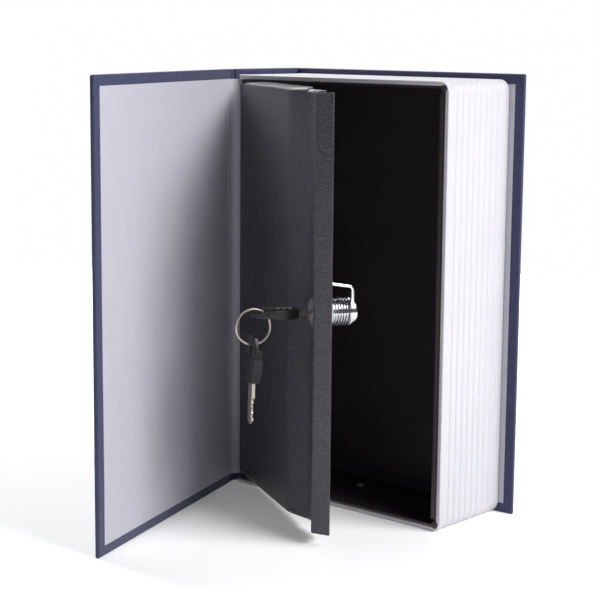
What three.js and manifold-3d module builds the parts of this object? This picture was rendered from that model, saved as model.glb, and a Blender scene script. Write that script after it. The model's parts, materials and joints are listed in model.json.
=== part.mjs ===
// Key-lock book safe: a hardcover case around a steel strongbox in a moulded plastic page block.
// Millimetres, +Z up. The origin is the centre of the page block's bottom face.
// The spine is at -X, the pages' fore-edge at +X, the front cover at -Y and the back cover at +Y.
import * as THREE from "three";
import { mergeVertices } from "three/addons/utils/BufferGeometryUtils.js";
import Module from "manifold-3d";

const wasm = await Module();
wasm.setup();

// Driving dimensions
const COVER_H = 240; // the case's height
const BLOCK_W = 145.7; // page block, spine side to fore-edge
const BLOCK_D = 54; // page block, front to back
const BLOCK_H = 236.9;
const BLOCK_WALL = 2.4;
const BLOCK_CORNER = 6; // rounding of the fore-edge's top and bottom corners
const PAN_CORNER = 0.5; // inside corners, where the steel pan sits
const RIB_COUNT = 9; // grooves that stand for leaves
const RIB_PITCH = 5.2;
const RIB_DEPTH = 0.5;
const RIB_WIDTH = 0.9;
const FIT = 0.1; // between layers that are glued face to face

// The case's layers, from the inside out
const PAPER_T = 0.25;
const CLOTH_T = 0.3;
const BOARD_T = 1.6;
const COVER_T = PAPER_T + FIT + CLOTH_T + FIT + BOARD_T + FIT + CLOTH_T;
const TURN_IN = 14; // cloth folded over onto the board's inside
const PAPER_MARGIN = 5.5; // cloth left showing round the paper
const FRONT_W = 158.2; // joint line to the front cover's fore-edge
const BACK_W = 159.3;
const JOINT_GAP = 2.6; // hinge line to the board's near edge

const JOINT_X = -BLOCK_W / 2 - 4.8; // the two joints, front and back
const FRONT_Y = -BLOCK_D / 2 - 0.5; // inner face of the front cover when it is shut
const BACK_Y = BLOCK_D / 2 + 0.3; // inner face of the back cover
const COVER_PIVOT = [JOINT_X + 0.15, FRONT_Y - 0.5];
const COVER_OPEN = 71.2; // degrees open at rest

// Strongbox
const STEEL_T = 1.2;
const STEEL_GAP = 0.15; // steel to plastic
const BOX_X0 = -BLOCK_W / 2 + 0.2;
const BOX_X1 = BLOCK_W / 2 - BLOCK_WALL - STEEL_GAP;
const BOX_Y0 = -BLOCK_D / 2 + 0.4;
const BOX_Y1 = BLOCK_D / 2 - BLOCK_WALL - STEEL_GAP;
const BOX_Z0 = BLOCK_WALL + STEEL_GAP;
const BOX_Z1 = BLOCK_H - BLOCK_WALL - STEEL_GAP;
const LIP_W = 4; // front flange on the fore-edge side
const LIP_RETURN = 8; // the lip is folded back this far, and the cam's tongue catches behind it
const HINGE_RELIEF = 6; // the spine-side wall starts this far behind the front

// Door, in its own frame: u from the hinge side to the free edge, v from the face into the box
const DOOR_OPEN = 29.5; // degrees open at rest
const DOOR_PIVOT = [-BLOCK_W / 2 + 3, -BLOCK_D / 2 + 4];
const PIN_UV = [-0.8, 3];
const DOOR_Z0 = 6.8;
const DOOR_Z1 = 231.4; // top of the face; the top flange rises behind it
const FLANGE_D = 7.5;
const FLANGE_RISE = 0.1; // slope of the top flange
const FLANGE_END = 95; // both flanges stop here, short of the lock's land
const LAND_TOP = 230.9; // the sheet is cut a little lower between the flange and the ridge
const DOOR_LINE = [[-1.8, 0], [83, 0], [100.5, 6.2], [117.5, 6.2], [124.5, -1], [131.5, 5.8]];

// Lock
const LOCK_U = 107;
const LOCK_Z = 118.5;
const LAND_V = 6.2; // the recessed land that the lock passes through
const BARREL_R = 7.6;
const BARREL_END = 22.1;
const FLAT_HALF = 7; // half the distance across the barrel's two flats
const BEZEL_R = 8.4;
const PLUG_R = 4.6;
const CAM_T = 1.5;
const CAM_W = 2.5; // the cam's leg and arm are a narrow strip
const TONGUE_W = 8;

// Keys
const BLADE_W = 6.2;
const BLADE_T = 1.8;
const BLADE_L = 21.7;
const HEAD_L = 24.6;
const HEAD_W = 16;
const HEAD_T = 5;
const HEAD_RISE = 0.5; // the blade is this far below the middle of the head
const HEAD_V = -4.5; // where the head's shoulder stands in front of the door's face
const EYE_FROM_SHOULDER = 17; // shoulder to the middle of the ring's eye
const EYE_HALF = 3.4; // half the eye's length
const EYE_R = 1.7;
const RIM_T = 2.2; // the head is thinner round the eye
const RIM_FROM_SHOULDER = [17.6, 13.9]; // on its upper and lower faces
const RING_R = 9.1; // to the middle of the wire
const WIRE_R = 0.7;
const RING_DROP = [-6.4, -5.84]; // eye to ring centre, along v and z
const SPARE_LEAN = -1.5; // degrees that the spare key hangs off plumb

// Solids from three.js geometries
function solid(geometry) {
  const bare = geometry.clone();
  bare.deleteAttribute("normal");
  bare.deleteAttribute("uv");
  const merged = mergeVertices(bare, 1e-4);
  return new wasm.Manifold(new wasm.Mesh({
    numProp: 3,
    vertProperties: new Float32Array(merged.attributes.position.array),
    triVerts: new Uint32Array(merged.index.array),
  }));
}

// A box from its two corners
function box([x0, y0, z0], [x1, y1, z1]) {
  const g = new THREE.BoxGeometry(x1 - x0, y1 - y0, z1 - z0);
  return solid(g.translate((x0 + x1) / 2, (y0 + y1) / 2, (z0 + z1) / 2));
}

// A flat outline extruded along Z
function prismZ(points, z0, z1) {
  const shape = points instanceof THREE.Shape
    ? points
    : new THREE.Shape(points.map(([x, y]) => new THREE.Vector2(x, y)));
  const g = new THREE.ExtrudeGeometry(shape, { depth: z1 - z0, bevelEnabled: false, curveSegments: 6 });
  return solid(g.translate(0, 0, z0));
}

// A profile of Y and Z extruded along X
function prismX(points, x0, x1) {
  const shape = new THREE.Shape(points.map(([y, z]) => new THREE.Vector2(y, z)));
  const g = new THREE.ExtrudeGeometry(shape, { depth: x1 - x0, bevelEnabled: false });
  g.applyMatrix4(new THREE.Matrix4().makeBasis(
    new THREE.Vector3(0, 1, 0), new THREE.Vector3(0, 0, 1), new THREE.Vector3(1, 0, 0)));
  return solid(g.translate(x0, 0, 0));
}

// A round bar along Y
function rodY(r, y0, y1, x = 0, z = 0, sides = 32) {
  const g = new THREE.CylinderGeometry(r, r, y1 - y0, sides);
  return solid(g.translate(x, (y0 + y1) / 2, z));
}

// A round bar along Z
function rodZ(r, z0, z1, x = 0, y = 0, sides = 24) {
  const g = new THREE.CylinderGeometry(r, r, z1 - z0, sides).rotateX(Math.PI / 2);
  return solid(g.translate(x, y, (z0 + z1) / 2));
}

// Materials
const paint = (color, roughness, metalness) =>
  new THREE.MeshStandardMaterial({ color, roughness, metalness });
const cloth = paint("#2b2d4a", 0.9, 0);
const greyboard = paint("#8d8a84", 0.9, 0);
const paper = paint("#e0dee6", 0.8, 0);
const plastic = paint("#efeef2", 0.45, 0);
const hammered = paint("#4a494e", 0.5, 0.4);
const black = paint("#1a181c", 0.6, 0.2);
const chrome = paint("#d8d8dc", 0.15, 1);
const zinc = paint("#b9babd", 0.3, 1);
const nickel = paint("#c9c6bd", 0.2, 1);
const keyPlastic = paint("#161618", 0.4, 0);

const root = new THREE.Group();

function put(group, name, manifold, material) {
  const m = manifold.getMesh();
  const g = new THREE.BufferGeometry();
  g.setAttribute("position", new THREE.BufferAttribute(new Float32Array(m.vertProperties), 3));
  g.setIndex(new THREE.BufferAttribute(new Uint32Array(m.triVerts), 1));
  g.computeVertexNormals();
  const mesh = new THREE.Mesh(g, material);
  mesh.name = name;
  group.add(mesh);
  return mesh;
}

// One case side, drawn with its inner face at y = 0, its outside at -Y and the hinge line at x = 0
function caseSide(group, prefix, width) {
  const clothIn = -(PAPER_T + FIT);
  const boardIn = clothIn - CLOTH_T - FIT;
  const boardOut = boardIn - BOARD_T;
  const outer = -COVER_T;
  const edge = CLOTH_T + FIT;
  put(group, prefix + "_board",
    box([JOINT_GAP + edge, boardOut, edge], [width - edge, boardIn, COVER_H - edge]), greyboard);
  const wrap = box([JOINT_GAP, outer, 0], [width, clothIn, COVER_H])
    .subtract(box([JOINT_GAP - 1, boardOut - FIT, CLOTH_T],
      [width - CLOTH_T, boardIn + FIT, COVER_H - CLOTH_T]))
    .subtract(box([JOINT_GAP - 1, boardIn, TURN_IN], [width - TURN_IN, 1, COVER_H - TURN_IN]));
  put(group, prefix + "_cloth", wrap, cloth);
  put(group, prefix + "_endpaper",
    box([JOINT_GAP, -PAPER_T, PAPER_MARGIN], [width - PAPER_MARGIN, 0, COVER_H - PAPER_MARGIN]), paper);
}

// Front cover: its group turns about the joint
const frontCover = new THREE.Group();
frontCover.position.set(COVER_PIVOT[0], COVER_PIVOT[1], 0);
frontCover.rotation.z = THREE.MathUtils.degToRad(-COVER_OPEN);
const frontLeaf = new THREE.Group();
frontLeaf.position.set(JOINT_X - COVER_PIVOT[0], FRONT_Y - COVER_PIVOT[1], 0);
frontCover.add(frontLeaf);
root.add(frontCover);
caseSide(frontLeaf, "front", FRONT_W);

// Back cover: the same side turned over, so its outside is at +Y
const backCover = new THREE.Group();
backCover.position.set(JOINT_X, BACK_Y, COVER_H);
backCover.rotation.x = Math.PI;
root.add(backCover);
caseSide(backCover, "back", BACK_W);

// Spine and the two cloth joints
const SPINE_X = JOINT_X - 1.8; // inner face of the spine's cloth
const SPINE_Y0 = FRONT_Y + 2.4;
const SPINE_Y1 = BACK_Y + COVER_T - 1.4;
put(root, "spine_board",
  box([SPINE_X + CLOTH_T + FIT, SPINE_Y0 + 0.6, 0.4],
    [JOINT_X + 0.2, SPINE_Y1 - 0.6, COVER_H - 0.4]), greyboard);
put(root, "spine_cloth", box([SPINE_X, SPINE_Y0, 0], [SPINE_X + CLOTH_T, SPINE_Y1, COVER_H]), cloth);
const ROLL_R = 0.8;
put(root, "front_joint_cloth",
  rodZ(ROLL_R, 0, COVER_H, COVER_PIVOT[0], COVER_PIVOT[1], 16)
    .add(box([COVER_PIVOT[0] - 0.4, COVER_PIVOT[1], 0],
      [COVER_PIVOT[0] + 0.4, SPINE_Y0 + 0.3, COVER_H])), cloth);
put(root, "back_joint_cloth",
  box([SPINE_X + CLOTH_T + FIT, SPINE_Y1 - 0.4, 0], [JOINT_X + JOINT_GAP - 0.2, SPINE_Y1, COVER_H]), cloth);

// Page block: a moulded channel round the top, fore-edge and bottom, open to the spine
function blockOutline(inset, extra, corner) {
  const x0 = -BLOCK_W / 2 - extra;
  const x1 = BLOCK_W / 2 - inset;
  const z1 = BLOCK_H - inset;
  const r = corner;
  const s = new THREE.Shape();
  s.moveTo(x0, inset);
  s.lineTo(x1 - r, inset);
  s.absarc(x1 - r, inset + r, r, -Math.PI / 2, 0, false);
  s.lineTo(x1, z1 - r);
  s.absarc(x1 - r, z1 - r, r, 0, Math.PI / 2, false);
  s.lineTo(x0, z1);
  return s;
}
function blockSlab(inset, y0, y1, extra = 0, corner = BLOCK_CORNER - inset) {
  const shape = blockOutline(inset, extra, corner);
  const g = new THREE.ExtrudeGeometry(shape, { depth: y1 - y0, bevelEnabled: false, curveSegments: 6 });
  return solid(g.rotateX(Math.PI / 2).translate(0, y1, 0));
}
let block = blockSlab(0, -BLOCK_D / 2, BLOCK_D / 2)
  .subtract(blockSlab(BLOCK_WALL, -BLOCK_D / 2 - 1, BLOCK_D / 2 - BLOCK_WALL, 1, PAN_CORNER));
for (let i = 0; i < RIB_COUNT; i++) {
  const y = (i - (RIB_COUNT - 1) / 2) * RIB_PITCH + 1;
  const ring = blockSlab(-1, y - RIB_WIDTH / 2, y + RIB_WIDTH / 2, 1)
    .subtract(blockSlab(RIB_DEPTH, y - RIB_WIDTH, y + RIB_WIDTH, 3));
  block = block.subtract(ring);
}
put(root, "page_block", block, plastic);

// Strongbox: a folded steel pan with a returned lip on the fore-edge side and a short wall by the hinge
const lipReturn = box([BOX_X1 - LIP_W, BOX_Y0, BOX_Z0 + STEEL_T - 0.1],
  [BOX_X1 - LIP_W + STEEL_T, BOX_Y0 + LIP_RETURN, BOX_Z1 - STEEL_T + 0.1]);
const strongbox = box([BOX_X0, BOX_Y0, BOX_Z0], [BOX_X1, BOX_Y1, BOX_Z1])
  .subtract(box([BOX_X0 + STEEL_T, BOX_Y0 + STEEL_T, BOX_Z0 + STEEL_T],
    [BOX_X1 - STEEL_T, BOX_Y1 - STEEL_T, BOX_Z1 - STEEL_T]))
  .subtract(box([BOX_X0 + STEEL_T, BOX_Y0 - 1, BOX_Z0 + STEEL_T],
    [BOX_X1 - LIP_W, BOX_Y0 + STEEL_T + 1, BOX_Z1 - STEEL_T]))
  .subtract(box([BOX_X0 - 1, BOX_Y0 - 1, BOX_Z0 + STEEL_T],
    [BOX_X0 + STEEL_T + 1, BOX_Y0 + HINGE_RELIEF, BOX_Z1 - STEEL_T]))
  .subtract(rodZ(1.6, BOX_Z0 - 1, BOX_Z1 + 1, DOOR_PIVOT[0], DOOR_PIVOT[1]))
  .add(lipReturn);
const RIVET_R = 1.6;
const RIVET_Y = 7.4;
const rivetPlaces = [
  ["rivet_floor_middle", [-8.4, RIVET_Y], 0],
  ["rivet_floor_hinge_side", [-50, RIVET_Y], 0],
  ["rivet_top_middle", [-8.4, RIVET_Y], 1],
  ["rivet_top_hinge_side", [-50, RIVET_Y], 1],
];
put(root, "strongbox", rivetPlaces.reduce(
  (s, [, [x, y]]) => s.subtract(rodZ(RIVET_R + 0.1, BOX_Z0 - 1, BOX_Z0 + 3, x, y, 16))
    .subtract(rodZ(RIVET_R + 0.1, BOX_Z1 - 3, BOX_Z1 + 1, x, y, 16)), strongbox), black);

// Rivets that hold the pan in the page block: a shank in the steel with a domed head inside
for (const [name, [x, y], top] of rivetPlaces) {
  const dome = new THREE.LatheGeometry([
    new THREE.Vector2(0, -STEEL_T), new THREE.Vector2(RIVET_R, -STEEL_T), new THREE.Vector2(RIVET_R, 0.05),
    new THREE.Vector2(3, 0.05), new THREE.Vector2(2.6, 0.7),
    new THREE.Vector2(1.5, 1.25), new THREE.Vector2(0, 1.4),
  ], 20).rotateX(top ? -Math.PI / 2 : Math.PI / 2);
  const face = top ? BOX_Z1 - STEEL_T - 0.02 : BOX_Z0 + STEEL_T + 0.02;
  put(root, name, solid(dome.translate(x, y, face)), zinc);
}

// Hinge pins, riveted into the pan above and below the door
const pinTop = rodZ(1.3, 228.4, BOX_Z1, DOOR_PIVOT[0], DOOR_PIVOT[1]);
put(root, "hinge_pin_top", pinTop.add(rodZ(1.65, 228.2, 229.1, DOOR_PIVOT[0], DOOR_PIVOT[1])), zinc);
const pinLow = rodZ(1.3, BOX_Z0, 8.9, DOOR_PIVOT[0], DOOR_PIVOT[1]);
put(root, "hinge_pin_bottom", pinLow.add(rodZ(1.65, 8.4, 9.3, DOOR_PIVOT[0], DOOR_PIVOT[1])), zinc);

// Door group: its axes are u (+X) and v (+Y), turned open about the pins
const door = new THREE.Group();
door.position.set(DOOR_PIVOT[0], DOOR_PIVOT[1], 0);
door.rotation.z = THREE.MathUtils.degToRad(-DOOR_OPEN);
const leaf = new THREE.Group();
leaf.position.set(-PIN_UV[0], -PIN_UV[1], 0);
door.add(leaf);
root.add(door);

// Door panel: folded sheet with a recessed land for the lock, a raised ridge and a canted free edge
function offsetLine(line, t) {
  return line.map((p, i) => {
    const a = line[Math.max(i - 1, 0)];
    const b = line[Math.min(i + 1, line.length - 1)];
    const n1 = normalOf(a, p, b);
    const n2 = normalOf(p, b, a);
    const k = t / (1 + n1[0] * n2[0] + n1[1] * n2[1]);
    return [p[0] + (n1[0] + n2[0]) * k, p[1] + (n1[1] + n2[1]) * k];
  });
}
function normalOf(a, b, other) {
  const [p, q] = a === b ? [b, other] : [a, b];
  const d = Math.hypot(q[0] - p[0], q[1] - p[1]);
  const s = a === b && other[0] < b[0] ? -1 : 1;
  return [-(q[1] - p[1]) / d * s, (q[0] - p[0]) / d * s];
}
const FACE_TOP = DOOR_Z1 + FLANGE_RISE * FLANGE_D;
const backLine = offsetLine(DOOR_LINE, STEEL_T);
const sheet = prismZ([...DOOR_LINE, ...backLine.slice().reverse()], DOOR_Z0, FACE_TOP);
const flangeFrom = (FLANGE_END - DOOR_LINE[1][0]) * LAND_V / (DOOR_LINE[2][0] - DOOR_LINE[1][0]);
const behindFace = prismZ([DOOR_LINE[0], DOOR_LINE[1], [FLANGE_END, flangeFrom],
  [FLANGE_END, FLANGE_D], [DOOR_LINE[0][0], FLANGE_D]], 0, COVER_H);
const slope = (v) => DOOR_Z1 + FLANGE_RISE * v;
const topFlange = prismX([[-2, slope(-2) - STEEL_T], [12, slope(12) - STEEL_T],
  [12, slope(12)], [-2, slope(-2)]], DOOR_LINE[0][0], DOOR_LINE[4][0]).intersect(behindFace);
const lowFlange = box([DOOR_LINE[0][0], -2, DOOR_Z0], [DOOR_LINE[4][0], 12, DOOR_Z0 + STEEL_T])
  .intersect(behindFace);
const aboveSlope = prismX([[-9, slope(-9)], [14, slope(14)], [14, 250], [-9, 250]], -10, 140);
const panel = sheet.add(topFlange).add(lowFlange).subtract(aboveSlope)
  .subtract(box([FLANGE_END, -0.5, LAND_TOP], [DOOR_LINE[4][0] - 0.5, 12, COVER_H]))
  .subtract(rodY(BARREL_R + 0.25, LAND_V - 3, LAND_V + 4, LOCK_U, LOCK_Z))
  .subtract(rodZ(1.6, 0, 240, PIN_UV[0], PIN_UV[1]));
put(leaf, "door_panel", panel, hammered);

// Lock group: +Y runs into the box along the lock's axis
const lock = new THREE.Group();
lock.position.set(LOCK_U, 0, LOCK_Z);
leaf.add(lock);
const BEZEL_BACK = LAND_V - 0.7;
const flats = box([-20, BEZEL_BACK + 0.5, -20], [20, 60, -FLAT_HALF])
  .add(box([-20, BEZEL_BACK + 0.5, FLAT_HALF], [20, 60, 20]));
const housing = rodY(BARREL_R, BEZEL_BACK - 0.5, BARREL_END).subtract(flats)
  .add(rodY(BEZEL_R, BEZEL_BACK - 1.8, BEZEL_BACK, 0, 0, 40))
  .subtract(rodY(PLUG_R + 0.15, -5, 60));
put(lock, "lock_housing", housing, chrome);

// Washer and hex nut that clamp the lock to the land
const WASHER_V = LAND_V + STEEL_T + 0.2;
put(lock, "lock_washer", rodY(9.5, WASHER_V, WASHER_V + 0.8).subtract(rodY(BARREL_R + 0.2, 0, 60)), zinc);
const NUT_V = WASHER_V + 1;
put(lock, "lock_nut", rodY(10.6, NUT_V, NUT_V + 3.4, 0, 0, 6).subtract(rodY(BARREL_R + 0.2, 0, 60)), zinc);

// Plug with the keyway, turning in the housing with the cam
const plug = new THREE.Group();
lock.add(plug);
const PLUG_FRONT = BEZEL_BACK - 1.5;
const COLLAR_V = BARREL_END + 0.2;
const COLLAR_END = 26.2;
const STUD_R = 3;
const plugSolid = rodY(PLUG_R, PLUG_FRONT, BARREL_END + 0.1)
  .add(rodY(STUD_R, BARREL_END, COLLAR_END - 0.3, 0, 0, 20))
  .subtract(box([-BLADE_W / 2 - 0.25, PLUG_FRONT - 1, -BLADE_T / 2 - 0.25],
    [BLADE_W / 2 + 0.25, HEAD_V + BLADE_L + 0.8, BLADE_T / 2 + 0.25]));
put(plug, "lock_plug", plugSolid, zinc);

// Collar screwed onto the plug's stud, with a flat milled in its side for the cam's leg
const LEG_V = COLLAR_V + 0.1;
const LEG_U = 5.6;
const LEG_Z = 2.5; // the leg's lower end
put(plug, "cam_collar", rodY(BARREL_R, COLLAR_V, COLLAR_END)
  .subtract(box([LEG_U - FIT, COLLAR_V - 1, LEG_Z - FIT], [10, LEG_V + CAM_T + FIT, 10]))
  .subtract(rodY(STUD_R + 0.15, 0, 60, 0, 0, 20)), chrome);

// Cam: a strip fixed to the collar's side, cranked back towards the door, with a wider tongue
const CRANK_Z = 13;
const ARM_RISE = 2.2; // the arm climbs a little on its way to the door
const TONGUE_V = 9.5;
const TONGUE_R = 30.5;
const camLine = [[LEG_V, LEG_Z], [LEG_V, CRANK_Z], [TONGUE_V, CRANK_Z + ARM_RISE], [TONGUE_V, TONGUE_R]];
const camBack = [[LEG_V + CAM_T, LEG_Z], [LEG_V + CAM_T, CRANK_Z + CAM_T],
  [TONGUE_V + CAM_T, CRANK_Z + ARM_RISE + CAM_T], [TONGUE_V + CAM_T, TONGUE_R]];
const tongue = box([LEG_U + CAM_W - TONGUE_W, TONGUE_V, CRANK_Z + ARM_RISE],
  [LEG_U + CAM_W, TONGUE_V + CAM_T, TONGUE_R]);
put(plug, "cam", prismX([...camLine, ...camBack.slice().reverse()].reverse(), LEG_U, LEG_U + CAM_W)
  .add(tongue), zinc);

// A key, drawn with its shoulder at y = 0, its blade towards +Y and its flat head across X
function keyPieces(group, prefix) {
  const cuts = [[3.2, 1.1], [6.4, 1.7], [9.6, 0.9], [12.8, 1.5]];
  const tip = 1.8;
  const blade = new THREE.Shape();
  blade.moveTo(-BLADE_W / 2, -4);
  blade.lineTo(BLADE_W / 2, -4);
  for (const [y, depth] of cuts) {
    blade.lineTo(BLADE_W / 2, y - 1.4);
    blade.lineTo(BLADE_W / 2 - depth, y - 0.4);
    blade.lineTo(BLADE_W / 2 - depth, y + 0.4);
    blade.lineTo(BLADE_W / 2, y + 1.4);
  }
  blade.lineTo(BLADE_W / 2, BLADE_L - tip);
  blade.lineTo(0.6, BLADE_L);
  blade.lineTo(-0.6, BLADE_L);
  blade.lineTo(-BLADE_W / 2, BLADE_L - tip);
  const bladeSolid = prismZ(blade, -BLADE_T / 2, BLADE_T / 2);
  const head = new THREE.Shape();
  head.moveTo(-4.4, 0);
  head.lineTo(4.4, 0);
  head.quadraticCurveTo(HEAD_W / 2, -7, HEAD_W / 2, -13);
  head.quadraticCurveTo(HEAD_W / 2 - 1, -20, 4.6, -HEAD_L + 1);
  head.quadraticCurveTo(0, -HEAD_L - 1, -4.6, -HEAD_L + 1);
  head.quadraticCurveTo(1 - HEAD_W / 2, -20, -HEAD_W / 2, -13);
  head.quadraticCurveTo(-HEAD_W / 2, -7, -4.4, 0);
  const eye = new THREE.Shape();
  eye.absarc(0, -EYE_FROM_SHOULDER + EYE_HALF - EYE_R, EYE_R, 0, Math.PI, false);
  eye.absarc(0, -EYE_FROM_SHOULDER - EYE_HALF + EYE_R, EYE_R, Math.PI, 2 * Math.PI, false);
  const headSolid = prismZ(head, HEAD_RISE - HEAD_T / 2, HEAD_RISE + HEAD_T / 2)
    .subtract(box([-10, -HEAD_L - 2, RIM_T / 2], [10, -RIM_FROM_SHOULDER[0], HEAD_T]))
    .subtract(box([-10, -HEAD_L - 2, -HEAD_T], [10, -RIM_FROM_SHOULDER[1], -RIM_T / 2]))
    .subtract(prismZ(eye, -HEAD_T, HEAD_T))
    .subtract(box([-BLADE_W / 2 - 0.1, -4.1, -BLADE_T / 2 - 0.1], [BLADE_W / 2 + 0.1, 1, BLADE_T / 2 + 0.1]));
  put(group, prefix + "_blade", bladeSolid, nickel);
  put(group, prefix + "_head", headSolid, keyPlastic);
}

// Key in the lock, ring through its eye, and the spare key hanging from the ring
const key = new THREE.Group();
key.position.y = HEAD_V;
plug.add(key);
keyPieces(key, "key");
const ringAt = new THREE.Group();
ringAt.position.set(0, -EYE_FROM_SHOULDER + RING_DROP[0], RING_DROP[1]);
key.add(ringAt);
const torus = new THREE.TorusGeometry(RING_R, WIRE_R, 8, 40).rotateY(Math.PI / 2);
put(ringAt, "key_ring", solid(torus), nickel);
const spare = new THREE.Group();
spare.position.z = -RING_R;
spare.rotation.x = THREE.MathUtils.degToRad(SPARE_LEAN);
ringAt.add(spare);
const spareTurn = new THREE.Group();
spareTurn.rotation.x = -Math.PI / 2;
spareTurn.position.z = -(EYE_FROM_SHOULDER + EYE_HALF - WIRE_R - 0.1);
spare.add(spareTurn);
keyPieces(spareTurn, "spare_key");

export default root;
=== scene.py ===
"""Key-lock book safe, standing open: a cloth-covered case, a moulded page block and a steel strongbox."""
import json
import math

import bmesh
import bpy
import numpy as np
from mathutils import Matrix, Vector


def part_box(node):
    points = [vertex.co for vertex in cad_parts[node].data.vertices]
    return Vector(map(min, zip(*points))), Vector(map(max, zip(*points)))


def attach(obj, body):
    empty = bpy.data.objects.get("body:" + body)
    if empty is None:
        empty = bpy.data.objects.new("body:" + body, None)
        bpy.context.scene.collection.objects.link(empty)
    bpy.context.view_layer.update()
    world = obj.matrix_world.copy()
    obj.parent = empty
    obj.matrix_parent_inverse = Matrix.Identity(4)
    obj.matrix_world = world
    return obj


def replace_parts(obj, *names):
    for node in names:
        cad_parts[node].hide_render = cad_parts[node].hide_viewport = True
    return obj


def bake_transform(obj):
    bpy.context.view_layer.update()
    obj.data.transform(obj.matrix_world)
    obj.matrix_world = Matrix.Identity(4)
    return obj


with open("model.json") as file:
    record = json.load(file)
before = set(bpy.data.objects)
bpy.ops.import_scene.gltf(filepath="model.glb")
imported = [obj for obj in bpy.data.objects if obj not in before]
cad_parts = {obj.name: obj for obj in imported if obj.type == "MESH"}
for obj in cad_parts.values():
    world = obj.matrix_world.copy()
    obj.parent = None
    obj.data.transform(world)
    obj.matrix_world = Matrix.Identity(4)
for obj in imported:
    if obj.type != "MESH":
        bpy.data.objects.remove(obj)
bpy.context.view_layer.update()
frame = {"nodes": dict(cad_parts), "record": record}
MM = 0.001
joints = {joint["name"]: joint for joint in frame["record"]["behaviour"]["joints"]}


# ---- Camera: a long lens a little above the book's top edge, looking past its fore-edge.
CAMERA_PLACE = (570.57 * MM, -708.95 * MM, 261.39 * MM)
CAMERA_YAW = math.radians(41.19)
CAMERA_DOWN = math.radians(9.26)
CAMERA_ROLL = math.radians(0.49)
CAMERA_LENS = 99.0

camera = bpy.data.objects.new("camera", bpy.data.cameras.new("camera"))
camera.data.lens = CAMERA_LENS
camera.data.sensor_width = 36.0
camera.data.clip_end = 50.0
camera.matrix_world = (
    Matrix.Translation(CAMERA_PLACE)
    @ Matrix.Rotation(CAMERA_YAW, 4, "Z")
    @ Matrix.Rotation(math.pi / 2 - CAMERA_DOWN, 4, "X")
    @ Matrix.Rotation(CAMERA_ROLL, 4, "Z")
)
bpy.context.scene.collection.objects.link(camera)
bpy.context.scene.camera = camera
bpy.context.scene.view_settings.view_transform = "Standard"


# ---- Studio: a white floor with a painted glow, its own emission growing away from the book so that shadows there fade to white, one large soft light on each side, and dim surroundings that only the camera sees as white.
def linear(hex_colour):
    """sRGB hex to linear RGBA: c/12.92 below 0.04045, else ((c + 0.055)/1.055) to the power 2.4."""
    c = np.array([int(hex_colour[i:i + 2], 16) for i in (1, 3, 5)]) / 255
    c = np.where(c <= 0.04045, c / 12.92, ((c + 0.055) / 1.055) ** 2.4)
    return (*c.tolist(), 1.0)


def add(tree, kind, sockets=None, **settings):
    """Adds one shader node. settings are its properties; sockets gives inputs, by name or number,
    as a value or as the output socket to link from."""
    made = tree.nodes.new(kind)
    for key, value in settings.items():
        setattr(made, key, value)
    for key, value in (sockets or {}).items():
        if isinstance(value, bpy.types.NodeSocket):
            tree.links.new(value, made.inputs[key])
        else:
            made.inputs[key].default_value = value
    return made


def new_material(name):
    """An empty node material: itself, its tree and its output node."""
    made = bpy.data.materials.new(name)
    made.use_nodes = True
    made.node_tree.nodes.clear()
    return made, made.node_tree, made.node_tree.nodes.new("ShaderNodeOutputMaterial")


def soft_light(name, place, target, size, watts):
    """A rectangular area light at place, turned to face target; sizes in metres."""
    data = bpy.data.lights.new(name, "AREA")
    data.shape = "RECTANGLE"
    data.size, data.size_y = size
    data.energy = watts
    lamp = bpy.data.objects.new(name, data)
    lamp.location = place
    lamp.rotation_euler = (Vector(target) - Vector(place)).to_track_quat("-Z", "Y").to_euler()
    bpy.context.scene.collection.objects.link(lamp)


FLOOR_HALF = 0.8
FLOOR_GLOW = 0.15, 0.9  # painted glow: the floor's own emission, faint under the book and strong far from it
GLOW_RISE = 0.28, 0.66  # distances from the middle, in metres, between which the glow grows
SURROUND_DIM, SURROUND_BRIGHT = 0.03, 0.12  # left and right of the set
SURROUND_SEEN = 1.0  # what the camera sees of them
BRIGHT_SIDE = (0.9, -0.25, 0.36)  # the direction in which the surroundings grow brighter
BRIGHT_RANGE = -0.6, 0.9  # and how far along it they do
LIGHT_TARGET = (0, -0.05, 0.12)

floor_mesh = bpy.data.meshes.new("floor")
floor_mesh.from_pydata(
    [(x * FLOOR_HALF, y * FLOOR_HALF, 0) for x, y in ((-1, -1), (1, -1), (1, 1), (-1, 1))],
    [], [(0, 1, 2, 3)])
floor = bpy.data.objects.new("floor", floor_mesh)
bpy.context.scene.collection.objects.link(floor)
backdrop_painted_glow, tree, out = new_material("backdrop_white_painted_glow")
coords = add(tree, "ShaderNodeTexCoord")
distance = add(tree, "ShaderNodeVectorMath", {0: coords.outputs["Object"]}, operation="LENGTH")
# Painted glow: the floor emits light, more the further it lies from the book, so shadows there fade to white.
glow = add(tree, "ShaderNodeMapRange", {
    "Value": distance.outputs["Value"], "From Min": GLOW_RISE[0], "From Max": GLOW_RISE[1],
    "To Min": FLOOR_GLOW[0], "To Max": FLOOR_GLOW[1]})
shader = add(tree, "ShaderNodeBsdfPrincipled", {
    "Base Color": linear("#F9F9FA"), "Roughness": 0.9, "Specular IOR Level": 0.1,
    "Emission Color": (1, 1, 1, 1), "Emission Strength": glow.outputs[0]})
tree.links.new(shader.outputs[0], out.inputs[0])
floor_mesh.materials.append(backdrop_painted_glow)

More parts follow.
